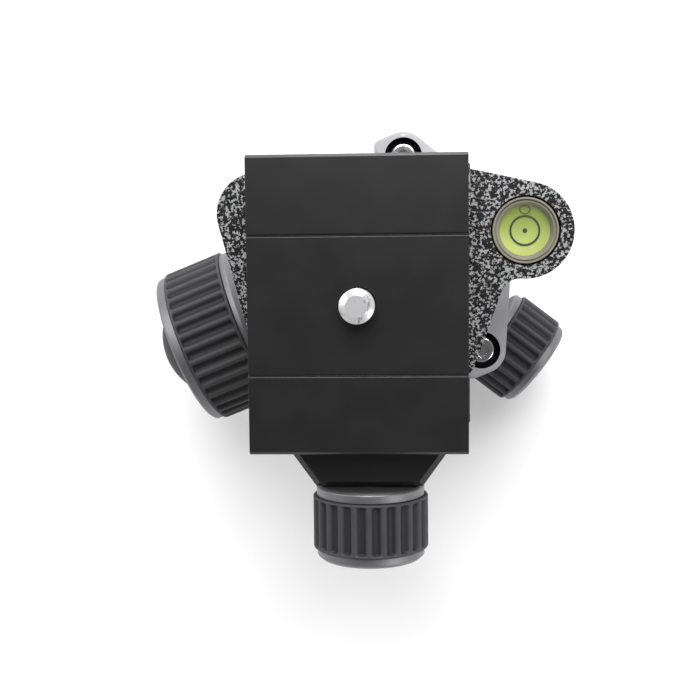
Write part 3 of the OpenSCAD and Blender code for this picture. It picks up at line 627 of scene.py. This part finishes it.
# %% The ball-lock knob
BACK_BEVEL, BACK_BEVEL_LENGTH, RING_BEVEL = 0.9 * mm, 0.7 * mm, 0.5 * mm
DIAL_GAP, DIAL_BEVEL, DIAL_BED_GAP = 0.3 * mm, 0.5 * mm, 0.1 * mm
LOCK_RIDGES, LOCK_DEPTH, LOCK_LAND = 36, 0.80 * mm, 0.35 * mm
place, grip, core, bore = knob("lock_knob", "lock_turn", "lock_knob", LOCK_RIDGES, LOCK_DEPTH, LOCK_LAND)
first, last, ring_r = core
dial_start, dial_end, dial_r = reach("friction_dial", place)
spindle_r = reach("lock_spindle", place)[2]
opening_r, dial_bed = dial_r + DIAL_GAP, dial_start - DIAL_BED_GAP
spool = turned([
    (spindle_r, first), (ring_r - BACK_BEVEL, first), (ring_r, first + BACK_BEVEL_LENGTH),
    *bed(ring_r, bore, grip),
    (ring_r, last - RING_BEVEL), (ring_r - RING_BEVEL, last),
    (opening_r + DIAL_BEVEL, last), (opening_r, last - DIAL_BEVEL),
    (opening_r, dial_bed), (spindle_r, dial_bed),
])
soften(spool, 0.15 * mm)
finished(spool, "lock_knob_spool", "silver", "lock_knob", place, ["lock_knob_core"])

# %% [markdown]
# The dial's dome is part of a ball. Its radius follows from the dial's radius and the dome's
# height, so it meets the dial's rim wherever that is.

# %% The friction dial
DOME_H, DOME_STEPS = 5 * mm, 16
DIAL_FOOT = 0.3 * mm
dome_r = (dial_r ** 2 + DOME_H ** 2) / (2 * DOME_H)
dome_sweep = math.asin(dial_r / dome_r)
dome = [(0, dial_start), (dial_r - DIAL_FOOT, dial_start), (dial_r, dial_start + DIAL_FOOT)]
for i in range(DOME_STEPS + 1):
    angle = dome_sweep * (1 - i / DOME_STEPS)
    dome.append((dome_r * math.sin(angle), dial_end - dome_r * (1 - math.cos(angle))))
finished(turned(dome), "friction_dial_dome", "dial_plastic", "dial", place, ["friction_dial"])

# %% [markdown]
# The two small knobs share one pattern: a shallow dish with a raised centre closes the outer end.
# One function makes both, because they differ only in their name and their joint.

# %% The small knobs
SMALL_RIDGES, SMALL_DEPTH, SMALL_LAND = 24, 0.85 * mm, 0.30 * mm
BOSS_R, BOSS_BEVEL, BOSS_CROWN = 3.6 * mm, 0.2 * mm, 0.1 * mm
BOSS_TOP_R = BOSS_R - 0.4 * mm
DISH_RIM, DISH_R, DISH_DEPTH = 1.8 * mm, 2.3 * mm, 0.6 * mm


def small_knob(name, joint):
    """A small knob, whose body has its name."""
    place, grip, core, bore = knob(name, joint, name, SMALL_RIDGES, SMALL_DEPTH, SMALL_LAND)
    first, last, ring_r = core
    spool = turned([
        (0, first + BOSS_BEVEL), (BOSS_R - BOSS_BEVEL, first + BOSS_BEVEL), (BOSS_R, first),
        (ring_r - 0.6 * mm, first), (ring_r, first + 0.5 * mm),
        *bed(ring_r, bore, grip),
        (ring_r, last - 0.7 * mm), (ring_r - 0.8 * mm, last), (ring_r - DISH_RIM, last),
        (ring_r - DISH_R, last - DISH_DEPTH), (BOSS_R, last - DISH_DEPTH),
        (BOSS_TOP_R, last - BOSS_BEVEL), (0, last - BOSS_CROWN),
    ])
    soften(spool, 0.12 * mm)
    finished(spool, name + "_spool", "silver", name, place, [name + "_core"])


small_knob("clamp_knob", "clamp_turn")
small_knob("pan_knob", "pan_lock_turn")

# %% [markdown]
# ## The speckled casting
# The casting carries the plate and the level. Seen from above, it is a belt laid round discs:
# convex where a disc is inside the belt, and concave at the fillet under the level's ear, where a
# disc presses on it from outside. Its outline could be drawn point by point, but a belt keeps
# every corner round and every side straight.

# %% Belt outline
def belt(discs, step=math.radians(6)):
    """Points of a belt round discs (x, y, radius), anticlockwise. A negative radius presses inwards."""
    normals = []
    for (ax, ay, ar), (bx, by, br) in zip(discs, discs[1:] + discs[:1]):
        across, up = bx - ax, by - ay
        normals.append(math.atan2(up, across) - math.acos((ar - br) / math.hypot(across, up)))
    points = []
    for i, (x, y, radius) in enumerate(discs):
        enter, leave = normals[i - 1], normals[i]
        sweep = (leave - enter) % (2 * math.pi)
        if radius < 0:
            sweep -= 2 * math.pi
        count = max(2, int(abs(sweep) / step) + 1)
        for k in range(count + 1):
            angle = enter + sweep * k / count
            points.append((x + radius * math.cos(angle), y + radius * math.sin(angle)))
    return points


casting_low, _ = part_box("clamp_casting")
cup_low, cup_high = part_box("level_cup")
CASTING_THICKNESS = 8.0 * mm
seat_z = casting_low.z + CASTING_THICKNESS
level_x, level_y = (cup_low.x + cup_high.x) / 2, (cup_low.y + cup_high.y) / 2
level_r = (cup_high.x - cup_low.x) / 2
# The x, y and radius of each disc in mm, from the ball's axis.
CASTING_DISCS = [
    (-18.0, -16.0, 3.0), (16.9, -16.0, 3.0), (27.98, -4.35, -3.5), (29.1, 8.0, 8.9),
    (17.5, 15.6, 4.0), (-20.5, 11.6, 7.6),
]
outline = belt(CASTING_DISCS)
print("casting outline:", len(outline), "points")

# %% [markdown]
# The face inside that belt is carried up. The recess for the level, the stem's hole, the jaw
# screw's bore and the stop's groove then come out of it, each with a Boolean, as each is a cut of
# its own on the real casting.

# %% Solids and cuts
def extruded(points, along):
    """A flat outline carried along a vector."""
    bm = bmesh.new()
    face = bm.faces.new([bm.verts.new(point) for point in points])
    lift = bmesh.ops.extrude_face_region(bm, geom=[face])["geom"]
    carried = [v for v in lift if isinstance(v, bmesh.types.BMVert)]
    bmesh.ops.translate(bm, verts=carried, vec=along)
    bmesh.ops.recalc_face_normals(bm, faces=bm.faces)
    return bm


def tool(bm, name):
    """A cutter for a Boolean, which is deleted afterwards."""
    mesh = bpy.data.meshes.new(name)
    bm.to_mesh(mesh)
    bm.free()
    cutter = bpy.data.objects.new(name, mesh)
    bpy.context.scene.collection.objects.link(cutter)
    return cutter


def joined(bm, merge):
    """Merges points that lie within merge of each other, and faces that lie in one plane."""
    bmesh.ops.remove_doubles(bm, verts=bm.verts, dist=merge)
    bmesh.ops.dissolve_limit(bm, angle_limit=math.radians(0.6), verts=bm.verts, edges=bm.edges)


def carved(bm, cutters):
    """The bmesh after each cutter is taken out of it."""
    base = tool(bm, "blank")
    for i, cutter in enumerate(cutters):
        modifier = base.modifiers.new(f"cut_{i}", "BOOLEAN")
        modifier.operation, modifier.solver, modifier.object = "DIFFERENCE", "EXACT", cutter
    bpy.context.view_layer.update()
    graph = bpy.context.evaluated_depsgraph_get()
    mesh = bpy.data.meshes.new_from_object(base.evaluated_get(graph))
    for spare in [base, *cutters]:
        bpy.data.objects.remove(spare)
    result = bmesh.new()
    result.from_mesh(mesh)
    bpy.data.meshes.remove(mesh)
    joined(result, 1e-6)
    return result


def rod(radius, low, high, place=Matrix(), segments=96):
    """A cylinder round a place's +Z, from low to high."""
    bm = bmesh.new()
    bmesh.ops.create_cone(bm, cap_ends=True, segments=segments, radius1=radius, radius2=radius,
                          depth=high - low, matrix=shift(0, 0, (low + high) / 2))
    bm.transform(place)
    return bm


def box(low, high):
    """A block between two corners."""
    grown = Matrix.Diagonal((*(high - low), 1))
    bm = bmesh.new()
    bmesh.ops.create_cube(bm, size=1.0, matrix=shift(*(low + high) / 2) @ grown)
    return bm


# %% [markdown]
# The lower rim is rounded further than the other edges, because it passes just over the large
# knob when the ball leans that way. It is rounded before the cuts, while the block is simple.

# %% The casting
CASTING_RIM, LOWER_RIM = 0.75 * mm, 1.7 * mm
RECESS_GAP = 0.35 * mm
STEM_HOLE_R, BOLT_RECESS_R, BOLT_RECESS_DEPTH = 4.1 * mm, 5.3 * mm, 2.6 * mm
JAW_BORE_R, JAW_BORE_FROM, JAW_BORE_TO = 3.1 * mm, -46 * mm, -8 * mm
# The stops slide 8 mm each way, with 0.3 mm to spare.
STOP_ROOM = Vector((8.3, 0.3, 0.3)) * mm

block = [(ball_x + x * mm, ball_y + y * mm, casting_low.z) for x, y in outline]
casting = extruded(block, (0, 0, CASTING_THICKNESS))
lower_rim = [e for e in casting.edges if all(abs(v.co.z - casting_low.z) < 1e-7 for v in e.verts)]
round_over(casting, lower_rim, LOWER_RIM, 6)

over = seat_z + mm
stops_low, stops_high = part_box("plate_stops")
groove_low, groove_high = stops_low - STOP_ROOM, stops_high + STOP_ROOM
groove_high.z = over
level_place, stem_place = shift(level_x, level_y), shift(ball_x, ball_y)
cutters = [
    tool(rod(level_r + RECESS_GAP, cup_low.z, over, level_place), "level_recess"),
    tool(rod(STEM_HOLE_R, casting_low.z - mm, over, stem_place), "stem_hole"),
    tool(rod(BOLT_RECESS_R, seat_z - BOLT_RECESS_DEPTH, over, stem_place), "bolt_recess"),
    tool(rod(JAW_BORE_R, JAW_BORE_FROM, JAW_BORE_TO, joint_axis("clamp_turn"), 48), "screw_bore"),
    tool(box(groove_low, groove_high), "stop_groove"),
]
casting = carved(casting, cutters)
soften(casting, CASTING_RIM, 4, 40)
finished(casting, "clamp_casting_body", "speckled_casting", "clamp", replaces=["clamp_casting"])

# %% [markdown]
# The plate's dovetail is held between two jaws. The fixed one is a bar along the back of the seat.
# Its cross-section is drawn once and carried along the seat, as the bar has one section all along.

# %% Fixed jaw
plate_low, plate_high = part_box("camera_plate")
plate_mid_y = (plate_low.y + plate_high.y) / 2
# Depth behind the plate's middle and height over the seat, in mm.
JAW_SECTION = [(20.7, 0.0), (20.7, 1.6), (17.51, 5.5), (25.1, 5.5), (25.1, 0.0)]
HALF_BAR = 18.6 * mm
JAW_SINK = 0.05 * mm
section = [(ball_x - HALF_BAR, plate_mid_y + y * mm, seat_z + z * mm - JAW_SINK) for y, z in JAW_SECTION]
bm = extruded(section, (2 * HALF_BAR, 0, 0))
soften(bm, 0.25 * mm)
finished(bm, "fixed_jaw", "speckled_casting", "clamp")

# %% [markdown]
# ## Plate, jaw, base and housing
# These parts have their full form already, so none of it is modelled again. Only their edges are
# rounded. The plate's long edges and its two fine grooves then draw the thin light lines that run
# across it.

# %% Softened parts
def softened(name, width, finish, segments=3):
    """A part's own form with its edges rounded."""
    bm = bmesh.new()
    bm.from_mesh(nodes[name].data)
    joined(bm, 2e-6)
    soften(bm, width, segments)
    body = nodes[name]["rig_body"]
    finished(bm, name + "_body", finish, body, replaces=[name])


softened("camera_plate", 0.16 * mm, "black_anodised")
softened("moving_jaw", 0.35 * mm, "black_anodised")
softened("base", 0.30 * mm, "black_anodised")
softened("ball_stem", 0.20 * mm, "black_anodised")
softened("housing", 0.22 * mm, "silver_paint", 2)
softened("housing_cap", 0.22 * mm, "silver_paint", 2)

# %% [markdown]
# ## The ball
# The ball is polished, so a facet would show in its reflections. A finely divided globe keeps it
# smooth, and its lower part stays hidden in the housing.

# %% Ball
BALL_R = 14.0 * mm
bm = bmesh.new()
bmesh.ops.create_uvsphere(bm, u_segments=128, v_segments=64, radius=BALL_R)
finished(bm, "ball_sphere", "ball_finish", "ball", shift(*ball_place.translation), ["ball"])

# %% [markdown]
# ## The camera screw
# A quarter-inch screw stands up through the plate, with a bright flat end. A picture of a thread
# would look flat from the side, so the thread is a form: one V is spun round the axis while it
# climbs, one pitch for each turn. It is then cut flat at both ends.

# %% Threads
CREST_FROM, CREST_TO, CREST_ROUND = 0.42, 0.58, 0.1


def thread(radius, pitch, depth, low, high, steps=48):
    """A threaded rod from low to high."""
    bm = bmesh.new()
    crest_r = radius - CREST_ROUND * depth
    v_shape = [(radius - depth, 0), (crest_r, CREST_FROM * pitch), (crest_r, CREST_TO * pitch),
               (radius - depth, pitch)]
    start = low - 1.5 * pitch
    points = [bm.verts.new((r, 0, start + z)) for r, z in v_shape]
    lines = [bm.edges.new(pair) for pair in zip(points, points[1:])]
    turns = math.ceil((high - start) / pitch) + 1
    bmesh.ops.spin(bm, geom=points + lines, axis=(0, 0, 1), cent=(0, 0, 0), angle=2 * math.pi * turns,
                   steps=steps * turns, dvec=(0, 0, pitch / steps))
    bmesh.ops.remove_doubles(bm, verts=bm.verts, dist=1e-6)
    for at, way in ((low, -1), (high, 1)):
        geometry = bm.verts[:] + bm.edges[:] + bm.faces[:]
        bmesh.ops.bisect_plane(bm, geom=geometry, dist=1e-8, plane_co=(0, 0, at), plane_no=(0, 0, way),
                               clear_outer=True)
    bmesh.ops.holes_fill(bm, edges=[e for e in bm.edges if e.is_boundary], sides=0)
    bmesh.ops.recalc_face_normals(bm, faces=bm.faces)
    return bm


# %% [markdown]
# The shaft ends in a cone with a flat face, and the head under the plate has a slot for a coin.
# Head and cone are turned pieces. The three lie inside each other a little, so no gap shows.

# %% The camera screw
SCREW_R, SCREW_PITCH, THREAD_DEPTH = 3.175 * mm, 1.27 * mm, 0.6 * mm
TIP_R, TIP_H, TIP_ROOT, TIP_BEVEL = 2.05 * mm, 0.75 * mm, 0.5 * mm, 0.1 * mm
HEAD_H, HEAD_BEVEL, HEAD_OVERLAP = 2.4 * mm, 0.3 * mm, 0.2 * mm
COIN_SLOT = Vector((20, 1.6, 2.2)) * mm

screw_place = shift(*joint_axis("camera_screw_turn").translation.xy)
screw_low, screw_high, head_r = reach("camera_screw", screw_place)
head_top, tip_low = screw_low + HEAD_H, screw_high - TIP_H
shaft = thread(SCREW_R, SCREW_PITCH, THREAD_DEPTH, head_top - HEAD_OVERLAP, tip_low)
finished(shaft, "camera_screw_thread", "screw_tip", "camera_screw", screw_place, smooth=40)
tip = turned([
    (0, tip_low - TIP_ROOT), (SCREW_R - 0.62 * mm, tip_low - TIP_ROOT), (SCREW_R - TIP_BEVEL, tip_low),
    (TIP_R, screw_high - TIP_BEVEL), (TIP_R - 0.12 * mm, screw_high), (0, screw_high),
], 96)
finished(tip, "camera_screw_tip", "screw_tip", "camera_screw", screw_place, smooth=25)
head = turned([
    (0, screw_low), (head_r - HEAD_BEVEL, screw_low), (head_r, screw_low + HEAD_BEVEL),
    (head_r, head_top - HEAD_BEVEL), (head_r - HEAD_BEVEL, head_top), (0, head_top),
])
slot_middle = Vector((0, 0, screw_low))
head = carved(head, [tool(box(slot_middle - COIN_SLOT / 2, slot_middle + COIN_SLOT / 2), "slot_cut")])
finished(head, "camera_screw_head", "steel", "camera_screw", screw_place, ["camera_screw"])

# %% [markdown]
# ## The bubble level
# A pale cup holds yellow-green spirit under a clear lens. Light that falls through real spirit
# gathers on the far side of the cup. That would take many samples to trace, so the spirit is
# opaque here and its tone runs from bright in front to dark at the back.

# %% Level finishes
SPIRIT_FRONT, SPIRIT_BACK = -4.6 * mm, 3.5 * mm


def spirit(tree):
    """Spirit that is bright at the cup's front and dark at its back."""
    inputs = {"Vector": object_place(tree), "Location": (-level_x, -level_y, 0)}
    place = node(tree, "ShaderNodeMapping", None, inputs)
    back = node(tree, "ShaderNodeSeparateXYZ", None, {0: place}, output="Y")
    share = back.above(SPIRIT_FRONT, SPIRIT_BACK)
    clouds = noise(tree, 2.2 * mm, 2)
    tone = mixed(tree, share, (0.56, 0.64, 0.20), (0.20, 0.27, 0.040))
    return {"Base Color": mixed(tree, 0.25 * clouds, tone, (0.36, 0.42, 0.08))}


add_finish("level_liquid", (0.5, 0.7, 0.15), 0.25, 0.0, spirit)
add_finish("level_cup", (0.62, 0.58, 0.48), 0.25, 0.0, moulded, (0.19, 0.175, 0.13), (0.27, 0.255, 0.20))
finishes["level_lens"] = material("level_lens", (0.4, 0.45, 0.3), 0.05, 0.0, Alpha=0.04)
finishes["level_bubble"] = material("level_bubble", (0.50, 0.66, 0.16), 0.10, 0.0)
finishes["print_black"] = material("print_black", (0.01, 0.012, 0.006), 0.4, 0.0)
# The bubble's outline is painted shade: a dark colour for the light bent away at its rim.
finishes["bubble_outline_shade"] = material("bubble_outline_shade", (0.05, 0.08, 0.015), 0.3, 0.0)
print("finishes:", len(finishes))

# %% [markdown]
# The cup is turned, with a double lip round its mouth and a step down to the spirit. The spirit
# is a flat disc of its own on the cup's floor, so that it can have its own finish.

# %% Cup and spirit
rim_z, floor_z = cup_high.z, seat_z - 1.9 * mm
SPIRIT_R, SPIRIT_DEPTH, SPIRIT_CROWN = 4.65 * mm, 0.7 * mm, 0.05 * mm
CUP_FLOOR = 0.8 * mm
LIP_LOW, LIP_HIGH = 0.55 * mm, 0.22 * mm
cup = turned([
    (0, cup_low.z), (level_r, cup_low.z), (level_r, rim_z - 0.15 * mm), (level_r - 0.12 * mm, rim_z),
    (level_r - 0.34 * mm, rim_z), (level_r - 0.40 * mm, rim_z - LIP_LOW),
    (level_r - 0.62 * mm, rim_z - LIP_LOW), (level_r - 0.68 * mm, rim_z - LIP_HIGH),
    (level_r - 0.88 * mm, rim_z - 0.30 * mm), (SPIRIT_R + 0.16 * mm, floor_z + 0.25 * mm),
    (SPIRIT_R, floor_z), (SPIRIT_R, floor_z - CUP_FLOOR), (0, floor_z - CUP_FLOOR),
])
finished(cup, "level_cup_body", "level_cup", "clamp", level_place, ["level_cup"], smooth=25)
liquid = turned([
    (0, floor_z - SPIRIT_DEPTH), (SPIRIT_R, floor_z - SPIRIT_DEPTH), (SPIRIT_R, floor_z),
    (0, floor_z + SPIRIT_CROWN),
])
finished(liquid, "level_spirit", "level_liquid", "clamp", level_place, ["level_liquid"])

# %% [markdown]
# A target circle and its dot lie over the spirit. The bubble has drifted to the back wall, because
# the head stood a little out of level, and shows only as a thin dark outline. That outline is painted
# shade, for the light that the bubble's curved rim bends away. Each mark is a thin ring, and the dot
# is a ring whose hole is too small to see.

# %% Marks and lens
MARK_HALF = 0.03 * mm
MARK_Z = floor_z + 0.12 * mm
TARGET_R, TARGET_WIDTH = 2.85 * mm, 0.36 * mm
DOT_R, DOT_WIDTH = 0.42 * mm, 0.4199 * mm
BUBBLE_R, BUBBLE_WIDTH, BUBBLE_AT, BUBBLE_FLATTENED = 1.05 * mm, 0.20 * mm, (0, 3.85 * mm), 0.78
LENS_GAP, LENS_BEVEL, LENS_DEPTH, LENS_CROWN = 0.7 * mm, 0.2 * mm, 0.2 * mm, 0.05 * mm


def ring(name, radius, width, finish, at=(0, 0), flatten=1.0):
    """A thin flat ring over the spirit."""
    low, high = MARK_Z - MARK_HALF, MARK_Z + MARK_HALF
    bm = turned([(radius - width, low), (radius, low), (radius, high), (radius - width, high)], 96)
    bm.transform(shift(*at) @ Matrix.Diagonal((1, flatten, 1, 1)))
    return finished(bm, name, finish, "clamp", level_place)


ring("level_target", TARGET_R, TARGET_WIDTH, "print_black")
ring("level_dot", DOT_R, DOT_WIDTH, "print_black")
# Painted shade: the bubble is drawn only as a dark ring, for the light bent away at its rim.
edge = ring("level_bubble_outline_shade", BUBBLE_R, BUBBLE_WIDTH, "bubble_outline_shade", BUBBLE_AT, BUBBLE_FLATTENED)
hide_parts("level_bubble")
lens_r = level_r - LENS_GAP
lens = turned([
    (0, rim_z - LENS_DEPTH), (lens_r, rim_z - LENS_DEPTH), (lens_r, rim_z - LENS_CROWN),
    (lens_r - LENS_BEVEL, rim_z), (0, rim_z + LENS_CROWN),
])
finished(lens, "level_lens_disc", "level_lens", "clamp", level_place, ["level_lens"])

# %% [markdown]
# ## Cap screws
# Two socket screws with rounded heads sit in the counterbores of the cap's ears. Each is turned,
# and its hexagonal socket is cut with a rod that has only six sides.

# %% Cap screws
SHANK_R, SHANK_BEVEL, SHANK_END_R = 2.1 * mm, 0.5 * mm, 1.7 * mm
SCREW_HEAD_R, SCREW_HEAD_H, HEAD_ROUND = 3.1 * mm, 3.4 * mm, 0.9 * mm
KEY_R, KEY_DEPTH = 1.75 * mm, 1.8 * mm
end_z, top_z = screws_low.z, screws_high.z
head_z, shoulder_z = top_z - SCREW_HEAD_H, top_z - HEAD_ROUND
profile = [(0, end_z), (SHANK_END_R, end_z), (SHANK_R, end_z + SHANK_BEVEL), (SHANK_R, head_z),
           (SCREW_HEAD_R, head_z), (SCREW_HEAD_R, shoulder_z)]
profile += [(SCREW_HEAD_R - HEAD_ROUND * (1 - math.cos(a)), shoulder_z + HEAD_ROUND * math.sin(a))
            for a in (math.pi / 8, math.pi / 4, 3 * math.pi / 8, math.pi / 2)]
profile += [(0, top_z)]
for i, name in enumerate(("rear", "front")):
    key = rod(KEY_R, top_z - KEY_DEPTH, top_z + mm, segments=6)
    bm = carved(turned(profile, 72), [tool(key, "hex_key")])
    soften(bm, 0.08 * mm, 2, 40)
    screw = finished(bm, f"cap_screw_{name}", "steel", "turntable", shift(*screw_spots[i]))
    if i == 0:
        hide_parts("cap_screws")

# %% [markdown]
# ## The parts inside
# The rest shows only when the head is taken apart or turned over, so it keeps its form and only
# gets the finish that its record names.

# %% Finishes of the carried-over parts
for entry in frame["record"]["subparts"]:
    part = nodes[entry["node"]]
    part.data.materials.clear()
    part.data.materials.append(finishes.get(entry["material_slot"], finishes["steel"]))
